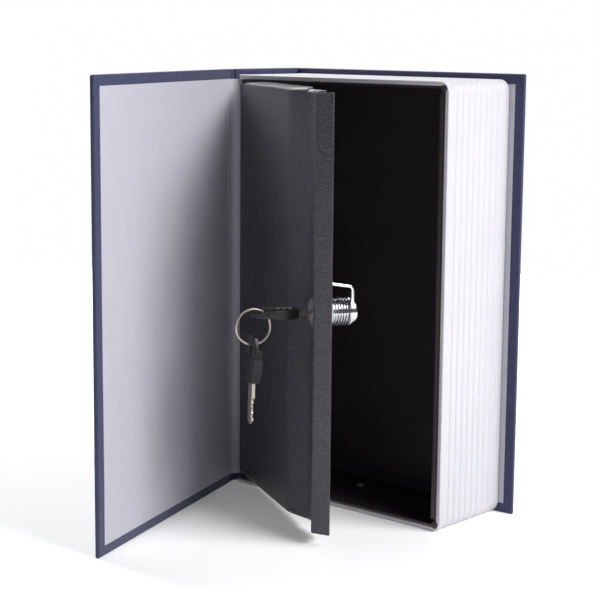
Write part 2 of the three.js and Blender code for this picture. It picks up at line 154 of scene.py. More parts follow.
world = bpy.data.worlds.new("studio")
bpy.context.scene.world = world
world.use_nodes = True
tree = world.node_tree
tree.nodes.clear()
coords = add(tree, "ShaderNodeTexCoord")
toward_right = add(tree, "ShaderNodeVectorMath", {0: coords.outputs["Generated"], 1: BRIGHT_SIDE},
                   operation="DOT_PRODUCT")
spread = add(tree, "ShaderNodeMapRange", {
    "Value": toward_right.outputs["Value"], "From Min": BRIGHT_RANGE[0], "From Max": BRIGHT_RANGE[1],
    "To Min": SURROUND_DIM, "To Max": SURROUND_BRIGHT})
seen = add(tree, "ShaderNodeLightPath")
strength = add(tree, "ShaderNodeMix", {
    "Factor": seen.outputs["Is Camera Ray"], 2: spread.outputs[0], 3: SURROUND_SEEN})
sky = add(tree, "ShaderNodeBackground", {"Color": (1.0, 0.995, 1.0, 1), "Strength": strength.outputs[0]})
add(tree, "ShaderNodeOutputWorld", {"Surface": sky.outputs[0]})
soft_light("key_light", (1.02, 0.13, 1.06), LIGHT_TARGET, (0.85, 0.85), 23.5)
soft_light("fill_light", (-0.93, 0.2, 1.27), LIGHT_TARGET, (0.9, 0.9), 24)


# ---- Front and back case sides: greyboard wrapped in navy book cloth, its edges turned in over the
# board by hand and pressed, so the corners are round and the inside shows a cloth margin.
def grid_faces(rows, cols, wrap_rows=False, wrap_cols=False):
    """Quads between neighbouring points of a rows x cols grid, closed on itself where it wraps."""
    i, j = np.meshgrid(np.arange(rows - (not wrap_rows)), np.arange(cols - (not wrap_cols)), indexing="ij")
    i1, j1 = (i + 1) % rows, (j + 1) % cols
    return np.stack([i * cols + j, i1 * cols + j, i1 * cols + j1, i * cols + j1], -1).reshape(-1, 4)


def piece(name, points, faces, material, body, crease=35, bevel=0.0):
    """One visible piece: points in millimetres, faces turned outwards, edges sharper than crease
    degrees kept sharp, and bevel millimetres rounded off them."""
    mesh = bpy.data.meshes.new(name)
    places = np.asarray(points).reshape(-1, 3) * MM
    mesh.from_pydata(places.tolist(), [], [list(map(int, face)) for face in faces])
    work = bmesh.new()
    work.from_mesh(mesh)
    bmesh.ops.remove_doubles(work, verts=work.verts, dist=1e-7)
    bmesh.ops.recalc_face_normals(work, faces=work.faces)
    work.to_mesh(mesh)
    work.free()
    mesh.polygons.foreach_set("use_smooth", [True] * len(mesh.polygons))
    mesh.set_sharp_from_angle(angle=math.radians(crease))
    mesh.materials.append(material)
    made = bpy.data.objects.new(name, mesh)
    bpy.context.scene.collection.objects.link(made)
    if bevel:
        modifier = made.modifiers.new("worn_edge", "BEVEL")
        modifier.width = bevel * MM
        modifier.segments = 2
        modifier.limit_method = "ANGLE"
        modifier.angle_limit = math.radians(crease)
    if body:
        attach(made, body)
    return made


def loft(rings):
    """Closed rings of equal length joined one to the next, the first and last closed by a flat face."""
    rings = np.asarray(rings)
    count, size = rings.shape[:2]
    faces = grid_faces(count, size, wrap_cols=True).tolist()
    faces.append(list(range(size))[::-1])
    faces.append(list(range((count - 1) * size, count * size)))
    return rings.reshape(-1, 3), faces


def round_rectangle(x0, x1, z0, z1, radius, steps=6):
    """Points round a rectangle with quarter-circle corners, anticlockwise from its lower right corner."""
    turn = np.linspace(0, math.pi / 2, steps)
    centres = ((x1 - radius, z0 + radius), (x1 - radius, z1 - radius),
               (x0 + radius, z1 - radius), (x0 + radius, z0 + radius))
    return np.concatenate([
        np.stack([cx + radius * np.cos(turn + (k - 1) * math.pi / 2),
                  cz + radius * np.sin(turn + (k - 1) * math.pi / 2)], -1)
        for k, (cx, cz) in enumerate(centres)])


def slab_rings(x0, x1, z0, z1, y0, y1, corner, edge, steps=5):
    """Rings of a slab between y0 and y1 with round corners and quarter-round edges of radius edge:
    each ring is the outline drawn in by edge(1 - sin a) at height edge(1 - cos a) from its face."""
    turn = np.linspace(0, math.pi / 2, steps)
    inset = edge * (1 - np.sin(turn))
    lift = edge * (1 - np.cos(turn))
    rings = []
    for draw, y in [*zip(inset, y0 + lift), *zip(inset[::-1], y1 - lift[::-1])]:
        outline = round_rectangle(x0 + draw, x1 - draw, z0 + draw, z1 - draw, max(corner - draw, 0.05))
        rings.append(np.stack([outline[:, 0], np.full(len(outline), y), outline[:, 1]], -1))
    return rings


THREAD = 0.8  # the cloth's thread spacing, drawn a little coarse so that it shows
SLUB = 3.846  # length of the thicker places in a thread
BANDS_RATE, DIAGONAL_RATE = 20, 10  # a wave texture of scale s repeats every 2 pi / (rate s) metres

book_cloth, tree, out = new_material("book_cloth_navy_woven_starched")
# Starch-filled cotton: a fine plain weave, dull, its raised threads painted a paler navy as a painted
# highlight where they would catch light.
coords = add(tree, "ShaderNodeTexCoord")
warp = add(tree, "ShaderNodeTexWave", {
    "Vector": coords.outputs["Object"], "Scale": 2 * math.pi / (BANDS_RATE * THREAD * MM),
    "Distortion": 1.2, "Detail": 2.0, "Detail Scale": 3.0}, wave_type="BANDS", bands_direction="Z")
weft = add(tree, "ShaderNodeTexWave", {
    "Vector": coords.outputs["Object"], "Scale": 2 * math.pi / (DIAGONAL_RATE * THREAD * MM),
    "Distortion": 1.2, "Detail": 2.0, "Detail Scale": 3.0}, wave_type="BANDS", bands_direction="DIAGONAL")
weave = add(tree, "ShaderNodeMath", {0: warp.outputs["Fac"], 1: weft.outputs["Fac"]}, operation="MULTIPLY")
slubs = add(tree, "ShaderNodeTexNoise", {
    "Vector": coords.outputs["Object"], "Scale": 1 / (SLUB * MM), "Detail": 4.0})
tone = add(tree, "ShaderNodeValToRGB", {"Fac": slubs.outputs["Fac"]})
tone.color_ramp.elements[0].color = linear("#1E2140")
tone.color_ramp.elements[1].color = linear("#333657")
# Painted highlight: the weave's raised threads are mixed towards a paler navy.
thread_painted_highlight = add(tree, "ShaderNodeMix", {"Factor": weave.outputs[0], 6: tone.outputs["Color"], 7: linear("#41456A")},
          data_type="RGBA")
bump = add(tree, "ShaderNodeBump", {"Height": weave.outputs[0], "Strength": 0.35, "Distance": 0.12 * MM})
shader = add(tree, "ShaderNodeBsdfPrincipled", {
    "Base Color": thread_painted_highlight.outputs[2], "Roughness": 0.72, "Specular IOR Level": 0.35, "Sheen Weight": 0.25,
    "Sheen Roughness": 0.5, "Normal": bump.outputs[0]})
tree.links.new(shader.outputs[0], out.inputs[0])

PULP_FIBRE = 1.1111

greyboard, tree, out = new_material("greyboard_pressed_pulp")
# Pressed waste pulp: matt grey with darker fibres about a millimetre long.
coords = add(tree, "ShaderNodeTexCoord")
fibres = add(tree, "ShaderNodeTexNoise", {
    "Vector": coords.outputs["Object"], "Scale": 1 / (PULP_FIBRE * MM), "Detail": 5.0})
tone = add(tree, "ShaderNodeValToRGB", {"Fac": fibres.outputs["Fac"]})
tone.color_ramp.elements[0].color = linear("#7C7972")
tone.color_ramp.elements[1].color = linear("#9A978F")
bump = add(tree, "ShaderNodeBump", {"Height": fibres.outputs["Fac"], "Strength": 0.4, "Distance": 0.1 * MM})
shader = add(tree, "ShaderNodeBsdfPrincipled", {
    "Base Color": tone.outputs["Color"], "Roughness": 0.92, "Normal": bump.outputs[0]})
tree.links.new(shader.outputs[0], out.inputs[0])
for node in ("front_board", "back_board", "spine_board"):
    frame["nodes"][node].data.materials.clear()
    frame["nodes"][node].data.materials.append(greyboard)

COVER_OPEN = math.radians(71.2)
FRONT_WIDTH = 158.2  # joint line to fore-edge
BACK_WIDTH = 159.3
COVER_THICK = 2.75
COVER_CORNER, COVER_EDGE = 1.0, 0.8  # radii of the wrapped corners and edges
COVER_SLACK = 0.2  # the front cover lies this much further off the block than the back cover
BOARD_START = 2.6  # joint line to the board's near edge
CLOTH_INSIDE = 0.35  # the turned-in cloth lies this far below the endpaper's face
COVER_HEIGHT = (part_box("back_cloth")[1][2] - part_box("back_cloth")[0][2]) / MM
BACK_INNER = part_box("back_cloth")[1][1] / MM - COVER_THICK
JOINT_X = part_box("back_cloth")[1][0] / MM - BACK_WIDTH
FRONT_INNER = -BACK_INNER - COVER_SLACK
pivot = np.array(joints["cover_hinge"]["pos_m"]) / MM


def on_front_cover(points):
    """Places points drawn with the hinge line at x = 0 and the inner face at y = 0 on the open cover:
    a turn of -COVER_OPEN about the cover's hinge."""
    points = np.asarray(points, float)
    x = points[..., 0] + JOINT_X - pivot[0]
    y = points[..., 1] + FRONT_INNER - pivot[1]
    c, s = math.cos(-COVER_OPEN), math.sin(-COVER_OPEN)
    return np.stack([pivot[0] + c * x - s * y, pivot[1] + s * x + c * y, points[..., 2]], -1)


def on_back_cover(points):
    """Places the same drawing on the back cover: turned over about X, inner face at BACK_INNER."""
    points = np.asarray(points, float)
    return np.stack(
        [points[..., 0] + JOINT_X, BACK_INNER - points[..., 1], COVER_HEIGHT - points[..., 2]], -1)


for side, body, place, width in (("front", "front_cover", on_front_cover, FRONT_WIDTH),
                                 ("back", "book", on_back_cover, BACK_WIDTH)):
    rings = slab_rings(BOARD_START, width, 0, COVER_HEIGHT, -COVER_THICK, -CLOTH_INSIDE,
                       COVER_CORNER, COVER_EDGE)
    wrap, faces = loft(rings)
    cover = piece(side + "_cover_cloth", place(wrap), faces, book_cloth, body, crease=60)
    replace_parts(cover, side + "_cloth")


# ---- Endpapers: pale uncoated paper pasted over the board and the turned-in cloth, which shows
# through as a faint step, with the slight cockle that paste leaves.
PAPER_MARGIN = 5.5
TURN_IN = 14.0
PAPER_THICK = 0.3
PAPER_LOW = -0.12  # the paper's face, below the cover's inner face
PAPER_STEP = 0.1  # the rise over the turned-in cloth
COCKLE = 0.04
FORMATION = 11.111  # width of the paper's cloudy patches
PAPER_FIBRE = 0.66667

endpaper, tree, out = new_material("endpaper_uncoated_pale_grey")
# Uncoated wood-free paper: matt, faintly mottled by its formation.
coords = add(tree, "ShaderNodeTexCoord")
cloudy = add(tree, "ShaderNodeTexNoise", {
    "Vector": coords.outputs["Object"], "Scale": 1 / (FORMATION * MM), "Detail": 3.0})
fibres = add(tree, "ShaderNodeTexNoise", {
    "Vector": coords.outputs["Object"], "Scale": 1 / (PAPER_FIBRE * MM), "Detail": 4.0})
tone = add(tree, "ShaderNodeValToRGB", {"Fac": cloudy.outputs["Fac"]})
tone.color_ramp.elements[0].color = linear("#B4B2BD")
tone.color_ramp.elements[1].color = linear("#BBB9C4")
bump = add(tree, "ShaderNodeBump", {"Height": fibres.outputs["Fac"], "Strength": 0.25, "Distance": 0.04 * MM})
shader = add(tree, "ShaderNodeBsdfPrincipled", {
    "Base Color": tone.outputs["Color"], "Roughness": 0.82, "Specular IOR Level": 0.25,
    "Normal": bump.outputs[0]})
tree.links.new(shader.outputs[0], out.inputs[0])


def shell(surface, thickness):
    """A closed shell from a grid of points: the grid, the grid moved thickness along its normals
    (the cross product of the grid's two directions), and a rim between their edges."""
    rows, cols = surface.shape[:2]
    along = np.gradient(surface, axis=0)
    across = np.gradient(surface, axis=1)
    normal = np.cross(along, across)
    normal /= np.linalg.norm(normal, axis=-1, keepdims=True) + 1e-12
    points = np.concatenate([surface.reshape(-1, 3), (surface + normal * thickness).reshape(-1, 3)])
    faces = grid_faces(rows, cols)
    number = np.arange(rows * cols).reshape(rows, cols)
    rim = np.concatenate([number[0], number[1:, -1], number[-1, -2::-1], number[-2:0:-1, 0]])
    after = np.roll(rim, -1)
    walls = np.stack([rim, after, after + rows * cols, rim + rows * cols], -1)
    return points, np.concatenate([faces[:, ::-1], faces + rows * cols, walls])


def paper_face(width, start, seed):
    """Height of a pasted endpaper over its own grid: a step of PAPER_STEP / (1 + exp(2.5 d)), with d the
    distance past the turned-in cloth, and a cockle of three slow sine waves."""
    s = np.linspace(start, width - PAPER_MARGIN, 60)[:, None]
    z = np.linspace(PAPER_MARGIN, COVER_HEIGHT - PAPER_MARGIN, 90)[None, :]
    inward = np.minimum(np.minimum(width - s, z), COVER_HEIGHT - z)
    step = PAPER_STEP / (1 + np.exp((inward - TURN_IN) * 2.5))
    cockle = sum(COCKLE * np.sin(s * a + z * b + seed * k) for k, (a, b) in enumerate(
        ((0.045, 0.021), (0.018, -0.05), (0.08, 0.012))))
    return np.stack([s + 0 * z, PAPER_LOW + step + cockle, z + 0 * s], -1)


for side, body, place, width, seed in (("front", "front_cover", on_front_cover, FRONT_WIDTH, 1.3),
                                       ("back", "book", on_back_cover, BACK_WIDTH, 2.1)):
    sheet, faces = shell(place(paper_face(width, BOARD_START + 0.3, seed)), PAPER_THICK)
    paper = piece(side + "_pastedown", sheet, faces, endpaper, body)
    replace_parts(paper, side + "_endpaper")


# ---- Spine and joints: a spine board wrapped in the same cloth, and a cloth joint each side of it. The front joint is drawn bent round onto the open cover; an endpaper crosses it inside, onto the page block's edge.
SPINE_ROUND = 0.85
SPINE_CORNER = 0.9
JOINT_CLOTH = 0.45
JOINT_SHORT = 0.15  # the joints' cloth stops this far short of the covers' ends
GUTTER_PAPER = 0.2

spine_low, spine_high = np.array(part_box("spine_cloth")) / MM
board_high = np.array(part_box("spine_board")[1]) / MM
rings = np.array(slab_rings(spine_low[1], spine_high[1], 0, COVER_HEIGHT, spine_low[0], board_high[0] + 0.1,
                            SPINE_CORNER, SPINE_ROUND, 7))
wrap, faces = loft(rings[..., [1, 0, 2]])
spine = piece("spine_cover_cloth", wrap, faces, book_cloth, "book", crease=60)
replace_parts(spine, "spine_cloth")


def strip(line, z0, z1, rows):
    """A grid that carries a line of (x, y) points up from z0 to z1."""
    line = np.asarray(line, float)
    z = np.linspace(z0, z1, rows)
    return np.stack([np.tile(line[:, 0], (rows, 1)), np.tile(line[:, 1], (rows, 1)),
                     np.tile(z[:, None], (1, len(line)))], -1)


def curve(points, steps):
    """A smooth line through a few control points: a Bezier curve, the sum of the points weighted by
    the Bernstein polynomials."""
    t = np.linspace(0, 1, steps)[:, None]
    n = len(points) - 1
    return sum(math.comb(n, k) * t ** k * (1 - t) ** (n - k) * np.array(point, float)
               for k, point in enumerate(points))


def cover_xy(x, y):
    """One (x, y) point of on_front_cover's drawing, at the bottom of the open cover."""
    return on_front_cover([x, y, 0.0])[:2].tolist()


joint_line = curve([(spine_low[0] + 0.5, spine_low[1] + 2.2), (spine_low[0] + 0.35, spine_low[1] - 1.2),
                    (pivot[0] - 0.9, pivot[1] + 0.2), cover_xy(1.0, -1.9),
                    cover_xy(BOARD_START + 1.4, -2.3)], 22)
sheet, faces = shell(strip(joint_line, JOINT_SHORT, COVER_HEIGHT - JOINT_SHORT, 40), JOINT_CLOTH)
front_joint = piece("front_joint_wrap", sheet, faces, book_cloth, None, crease=60)
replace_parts(front_joint, "front_joint_cloth")
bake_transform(front_joint)

back_high = np.array(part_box("back_joint_cloth")[1]) / MM
GROOVE = 0.9  # the joint is pressed in this deep beside the back board
joint_line = curve([(spine_low[0] + 0.55, back_high[1] - 1.2), (spine_low[0] + 0.5, back_high[1] + 0.5),
                    (JOINT_X, back_high[1] - GROOVE), (JOINT_X + BOARD_START - 0.4, back_high[1] - 0.6),
                    (JOINT_X + BOARD_START + 1.2, back_high[1] + 0.3)], 22)
sheet, faces = shell(strip(joint_line, JOINT_SHORT, COVER_HEIGHT - JOINT_SHORT, 40), -JOINT_CLOTH)
back_joint = piece("back_joint_wrap", sheet, faces, book_cloth, "book", crease=60)
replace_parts(back_joint, "back_joint_cloth")

block_low, block_high = np.array(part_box("page_block")) / MM
gutter_line = curve([(block_low[0] - 0.45, block_low[1] + 9.0), (block_low[0] - 0.4, block_low[1] + 2.0),
                     (block_low[0] - 0.5, block_low[1] - 1.4), (pivot[0] + 1.3, pivot[1] + 0.2),
                     cover_xy(BOARD_START - 0.6, 0.25), cover_xy(BOARD_START + 4.0, 0.0)], 30)
sheet, faces = shell(strip(gutter_line, PAPER_MARGIN, COVER_HEIGHT - PAPER_MARGIN, 60), -GUTTER_PAPER)
gutter = piece("gutter_endpaper", sheet, faces, endpaper, None, crease=60)
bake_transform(gutter)


# ---- Page block: one white moulding round the head, fore-edge and tail, its outside ribbed to look
# like leaves, with soft round ribs that come off the mould's vertical grooves.
BLOCK_WALL = 2.4
BLOCK_CORNER = 6.0
RIB_PITCH = 5.2
RIB_COUNT = 9
RIB_DEPTH = 0.5
RIB_MIDDLE = 1.0
GROOVE_HALF = 0.55
HOLLOW_DEPTH, HOLLOW_HALF = 0.12, 1.6  # the shallow hollow that each groove lies in
RIM_ROUND = 0.5
SPARK_GRAIN = 0.45455
FLOW_BAND = 71.43

page_plastic, tree, out = new_material("page_block_moulded_white_polystyrene")
# Injection-moulded polystyrene: satin white with a fine spark-eroded grain and faint flow bands.
coords = add(tree, "ShaderNodeTexCoord")
grain = add(tree, "ShaderNodeTexNoise", {
    "Vector": coords.outputs["Object"], "Scale": 1 / (SPARK_GRAIN * MM), "Detail": 2.0})
flow = add(tree, "ShaderNodeTexNoise", {
    "Vector": coords.outputs["Object"], "Scale": 1 / (FLOW_BAND * MM), "Detail": 2.0})
tone = add(tree, "ShaderNodeValToRGB", {"Fac": flow.outputs["Fac"]})
tone.color_ramp.elements[0].color = linear("#C9C8CE")
tone.color_ramp.elements[1].color = linear("#CECDD2")
bump = add(tree, "ShaderNodeBump", {"Height": grain.outputs["Fac"], "Strength": 0.2, "Distance": 0.03 * MM})
shader = add(tree, "ShaderNodeBsdfPrincipled", {
    "Base Color": tone.outputs["Color"], "Roughness": 0.42, "Specular IOR Level": 0.45,
    "Subsurface Weight": 0.05, "Subsurface Scale": 0.002, "Normal": bump.outputs[0]})
tree.links.new(shader.outputs[0], out.inputs[0])


def rim_path(inset):
    """The block's outline in X and Z drawn in by inset (an array): tail, corner, fore-edge, corner, head.
    Each corner is a quarter circle of radius BLOCK_CORNER - inset. Result: inset x path x 2."""
    inset = np.asarray(inset, float)[:, None]
    turn = np.linspace(0, math.pi / 2, 14)
    x1, z0, z1 = block_high[0], block_low[2], block_high[2]
    radius = np.maximum(BLOCK_CORNER - inset, 0.3)
    low = (x1 - inset - radius + radius * np.sin(turn), z0 + inset + radius - radius * np.cos(turn))
    high = (x1 - inset - radius + radius * np.cos(turn), z1 - inset - radius + radius * np.sin(turn))
    spine_side = np.full_like(inset, block_low[0])
    x = np.concatenate([spine_side, low[0], high[0], spine_side], 1)
    z = np.concatenate([z0 + inset, low[1], high[1], z1 - inset], 1)
    return np.stack([x, z], -1)


y_out = np.linspace(block_high[1] - RIM_ROUND, block_low[1] + RIM_ROUND, 300)
rib_centres = (np.arange(RIB_COUNT) - (RIB_COUNT - 1) / 2) * RIB_PITCH + RIB_MIDDLE
from_groove = np.abs(y_out[:, None] - rib_centres).min(axis=1)
groove = (RIB_DEPTH * np.exp(-(from_groove / GROOVE_HALF) ** 2)
          + HOLLOW_DEPTH * np.exp(-(from_groove / HOLLOW_HALF) ** 2))
turn = np.linspace(0, math.pi / 2, 6)
front_round = RIM_ROUND * (1 - np.cos(turn)), block_low[1] + RIM_ROUND * (1 - np.sin(turn))
inner_round = BLOCK_WALL - RIM_ROUND * (1 - np.sin(turn)), block_low[1] + RIM_ROUND * (1 - np.cos(turn))
profile_inset = np.concatenate([groove, front_round[0], inner_round[0], [BLOCK_WALL, BLOCK_WALL, 0.0]])
profile_y = np.concatenate([y_out, front_round[1], inner_round[1],
                            [block_high[1] - BLOCK_WALL, block_high[1], block_high[1]]])
path = rim_path(profile_inset)
points = np.stack([path[..., 0], np.tile(profile_y[:, None], (1, path.shape[1])), path[..., 1]], -1)
rim, faces = loft(points.transpose(1, 0, 2))
block = piece("page_block_ribbed", rim, faces, page_plastic, "book", crease=50)
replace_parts(block, "page_block")
rings = slab_rings(block_low[0], block_high[0] - 1, block_low[2] + 1, block_high[2] - 1,
                   block_high[1] - BLOCK_WALL + 0.05, block_high[1] - 0.05, 5.0, 0.3)
plate, faces = loft(rings)
piece("page_block_back", plate, faces, page_plastic, "book")


# ---- Strongbox: a pan pressed and folded from 1.2 mm sheet, sprayed satin black, with a returned lip
# on the fore-edge side and a lower wall where the door's hinge sits.
STEEL = 1.2
PAN_CORNER = 3.0
PAN_BEND = 2.5
LIP = 4.0
LIP_RETURN = 8.0
HINGE_RELIEF = 6.0
LIP_GAP = 4.2  # the lip stops this far short of the pan's corners
LIP_SET = 0.02  # and lies this far inside its edge
ORANGE_PEEL = 2.381
DUST_PATCH = 28.57

black_paint, tree, out = new_material("strongbox_satin_black_sprayed")
# Sprayed alkyd over bare sheet: near black, faint orange peel and dust.
coords = add(tree, "ShaderNodeTexCoord")
peel = add(tree, "ShaderNodeTexNoise", {
    "Vector": coords.outputs["Object"], "Scale": 1 / (ORANGE_PEEL * MM), "Detail": 3.0})
dust = add(tree, "ShaderNodeTexNoise", {
    "Vector": coords.outputs["Object"], "Scale": 1 / (DUST_PATCH * MM), "Detail": 6.0, "Roughness": 0.7})
tone = add(tree, "ShaderNodeValToRGB", {"Fac": dust.outputs["Fac"]})
tone.color_ramp.elements[0].color = linear("#2B262C")
tone.color_ramp.elements[1].color = linear("#3F393F")
bump = add(tree, "ShaderNodeBump", {"Height": peel.outputs["Fac"], "Strength": 0.3, "Distance": 0.06 * MM})
shader = add(tree, "ShaderNodeBsdfPrincipled", {
    "Base Color": tone.outputs["Color"], "Roughness": 0.42, "Specular IOR Level": 0.45,
    "Normal": bump.outputs[0]})
tree.links.new(shader.outputs[0], out.inputs[0])

pan_low, pan_high = np.array(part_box("strongbox")) / MM
turn = np.linspace(0, math.pi / 2, 7)
pan_inset = np.concatenate([np.zeros(8), PAN_BEND * (1 - np.cos(turn[1:]))])
pan_y = np.concatenate([np.linspace(pan_low[1], pan_high[1] - PAN_BEND, 8),
                        pan_high[1] - PAN_BEND + PAN_BEND * np.sin(turn[1:])])


def pan_rings(wall):
    """Rings of the pan from its front edge to its back, drawn in by wall: round rectangles whose
    front edge is set back by HINGE_RELIEF along the spine side."""
    rings = []
    for draw, y in zip(pan_inset, pan_y):
        draw = draw + wall
        outline = round_rectangle(pan_low[0] + draw, pan_high[0] - draw, pan_low[2] + draw,
                                  pan_high[2] - draw, max(PAN_CORNER - draw, 0.6), 5)
        set_back = np.where(outline[:, 0] < pan_low[0] + wall + 0.3, HINGE_RELIEF, 0.0)
        deep = np.maximum(y - (wall if y > pan_high[1] - 3 else 0), pan_low[1] + set_back)
        rings.append(np.stack([outline[:, 0], deep, outline[:, 1]], -1))
    return rings


outside, inside = pan_rings(0.0), pan_rings(STEEL)
pan, faces = loft(inside[::-1] + outside)
strongbox = piece("strongbox_pan", pan, faces, black_paint, "book", crease=50, bevel=0.12)
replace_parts(strongbox, "strongbox")


def bent(corners, radius, steps=5):
    """A line through corners with each inner corner rounded: a quadratic curve that leaves and meets
    the two sides at radius from the corner."""
    corners = [np.array(c, float) for c in corners]
    line = [corners[0]]
    for before, corner, after in zip(corners, corners[1:], corners[2:]):
        t = np.linspace(0, 1, steps)[:, None]
        a = corner + (before - corner) / np.linalg.norm(before - corner) * radius
        b = corner + (after - corner) / np.linalg.norm(after - corner) * radius
        line += list((1 - t) ** 2 * a + 2 * t * (1 - t) * corner + t ** 2 * b)
    return np.array([*line, corners[-1]])


lip_x = pan_high[0] - LIP
wall_x = pan_high[0] - STEEL - LIP_SET
lip_line = bent([(wall_x, pan_low[1] + 6), (wall_x, pan_low[1] + LIP_SET),
                 (lip_x, pan_low[1] + LIP_SET), (lip_x, pan_low[1] + LIP_RETURN)], 1.0)
sheet, faces = shell(strip(lip_line, pan_low[2] + LIP_GAP, pan_high[2] - LIP_GAP, 3), -STEEL)
piece("strongbox_lip", sheet, faces, black_paint, "book", crease=50, bevel=0.12)


def revolve(profile, sides=48):
    """A closed round body: (radius, height) points carried round an axis, x = r cos a, z = r sin a."""
    a = np.linspace(0, 2 * math.pi, sides, endpoint=False)
    profile = np.asarray(profile, float)
    r, h = profile[:, :1], profile[:, 1:]
    return np.stack([r * np.cos(a), h + 0 * a, r * np.sin(a)], -1)


BEAD_RADIUS, BEAD_RISE, BEAD_LONG = 2.3, 1.1, 2.0  # the weld beads that close the lip's corners
for end, z in (("tail", pan_low[2] + STEEL), ("head", pan_high[2] - STEEL)):
    a = np.linspace(0, math.pi / 2, 7)
    bead = revolve(np.stack([np.maximum(BEAD_RADIUS * np.cos(a), 0.05), -BEAD_RISE * np.sin(a)], -1), 24)
    base = bead[:1] + np.array([0, BEAD_LONG, 0])
    points, faces = loft(np.concatenate([base, bead]) + np.array([pan_high[0] - 0.6, pan_low[1] + 0.1, z]))
    piece("corner_bead_" + end, points, faces, black_paint, "book", crease=60)


# ---- Door: one sheet folded over at head and tail, with a sunk land for the lock, a raised ridge and a
# canted free edge, finished in grey hammered enamel.
DOOR_OPEN = math.radians(29.5)
PIN_UV = (-0.8, 3.0)  # the hinge pins, in the door's own u (across) and v (into the box)
DOOR_LINE = [(-1.8, 0), (83, 0), (100.5, 6.2), (117.5, 6.2), (124.5, -1), (131.5, 5.8)]
DOOR_TAIL = 6.8
DOOR_HEAD = 231.4
FLANGE_DEPTH = 7.5
FLANGE_RISE = 0.1
FLANGE_END = 95.0  # both flanges stop here, short of the land
LAND_TOP = 230.9
FOLD = 1.3  # radius of the folds at head and tail
PANEL_WAVE = 0.07
WARBLE = 2.0
DIMPLE = 1.2195
FLAKE = 0.71429
hinge = np.array(joints["door_hinge"]["pos_m"]) / MM

hammered, tree, out = new_material("door_hammered_enamel_grey")
# Hammer finish: aluminium flake in enamel that draws into dimples a little over a millimetre across,
# pale in the middle and darker at their rims, glossier than plain paint.
coords = add(tree, "ShaderNodeTexCoord")
warble = add(tree, "ShaderNodeTexNoise", {
    "Vector": coords.outputs["Object"], "Scale": 1 / (WARBLE * MM), "Detail": 2.0})
shifted = add(tree, "ShaderNodeMix", {
    "Factor": 0.0014, 6: coords.outputs["Object"], 7: warble.outputs["Color"]},
    data_type="RGBA", blend_type="ADD")
dimples = add(tree, "ShaderNodeTexVoronoi", {
    "Vector": shifted.outputs[2], "Scale": 1 / (DIMPLE * MM), "Smoothness": 0.5}, feature="SMOOTH_F1")
flake = add(tree, "ShaderNodeTexNoise", {
    "Vector": coords.outputs["Object"], "Scale": 1 / (FLAKE * MM), "Detail": 3.0})
tone = add(tree, "ShaderNodeValToRGB", {"Fac": dimples.outputs["Distance"]})
tone.color_ramp.elements[0].position = 0.2
tone.color_ramp.elements[0].color = linear("#504F54")
tone.color_ramp.elements[1].position = 0.7
tone.color_ramp.elements[1].color = linear("#403F44")
height = add(tree, "ShaderNodeMath", {0: dimples.outputs["Distance"], 1: flake.outputs["Fac"]},
             operation="ADD")
bump = add(tree, "ShaderNodeBump", {"Height": height.outputs[0], "Strength": 0.9, "Distance": 0.3 * MM})
shader = add(tree, "ShaderNodeBsdfPrincipled", {
    "Base Color": tone.outputs["Color"], "Metallic": 0.4, "Roughness": 0.42, "Coat Weight": 0.2,
    "Coat Roughness": 0.25, "Normal": bump.outputs[0]})
tree.links.new(shader.outputs[0], out.inputs[0])


def on_door(points):
    """Places (u, v, z) points on the open door: a turn of -DOOR_OPEN about its pins."""
    points = np.asarray(points, float)
    u, v = points[..., 0] - PIN_UV[0], points[..., 1] - PIN_UV[1]
    c, s = math.cos(DOOR_OPEN), math.sin(DOOR_OPEN)
    return np.stack([hinge[0] + u * c + v * s, hinge[1] - u * s + v * c, points[..., 2]], -1)


def resampled(line, spacing):
    """The same line with extra points, so that none are further apart than spacing."""
    run = np.concatenate([[0], np.cumsum(np.linalg.norm(np.diff(line, axis=0), axis=1))])
    at = np.unique(np.concatenate([run, np.arange(0, run[-1], spacing)]))
    return np.stack([np.interp(at, run, line[:, k]) for k in range(2)], -1)


ridge = np.array(DOOR_LINE[4])
before_ridge = ridge + (np.array(DOOR_LINE[3]) - ridge) * 0.15
face_line = resampled(bent([*DOOR_LINE[:4], before_ridge], 3.0), 5.0)
turn = np.linspace(0, math.pi / 2, 6)
u = np.unique(np.concatenate([face_line[:, 0], [FLANGE_END, FLANGE_END + 0.3]]))
v = np.interp(u, face_line[:, 0], face_line[:, 1])
fold_from = v + FOLD
flange = np.where(u <= FLANGE_END, FLANGE_DEPTH - fold_from, 0.05)
sections = [np.stack([u, fold_from + flange * t, np.full_like(u, DOOR_TAIL)], -1)
            for t in np.linspace(1, 0.05, 4)]
sections += [np.stack([u, v + FOLD * (1 - np.sin(a)), DOOR_TAIL + FOLD * (1 - np.cos(a)) + 0 * u], -1)
             for a in turn]
for z in np.linspace(DOOR_TAIL + 6, DOOR_HEAD - 5, 34):
    wave = PANEL_WAVE * np.sin(z * 0.045 + u * 0.03) * np.sin(u * 0.05)
    sections.append(np.stack([u, v + wave, np.full_like(u, z)], -1))
head = np.where(u <= FLANGE_END, DOOR_HEAD + FLANGE_RISE * v, LAND_TOP)
for a in turn:
    in_fold = FOLD * (1 - np.cos(a))
    sections.append(np.stack([u, v + in_fold, head - FOLD * (1 - np.sin(a)) + FLANGE_RISE * in_fold], -1))
sections += [np.stack([u, fold_from + flange * t, head + FLANGE_RISE * (FOLD + flange * t)], -1)
             for t in np.linspace(0.05, 1, 4)]
sheet, faces = shell(np.array(sections), -STEEL)
door = piece("door_face", on_door(sheet), faces, hammered, "door", crease=50, bevel=0.15)
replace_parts(door, "door_panel")
edge_line = resampled(bent([before_ridge, ridge, DOOR_LINE[5]], 1.1), 3.0)
edge_top = DOOR_HEAD + FLANGE_RISE * edge_line[:, 1]
edge_rows = np.array([np.stack([edge_line[:, 0], edge_line[:, 1], DOOR_TAIL + (edge_top - DOOR_TAIL) * t], -1)
                      for t in np.linspace(0, 1, 24)])
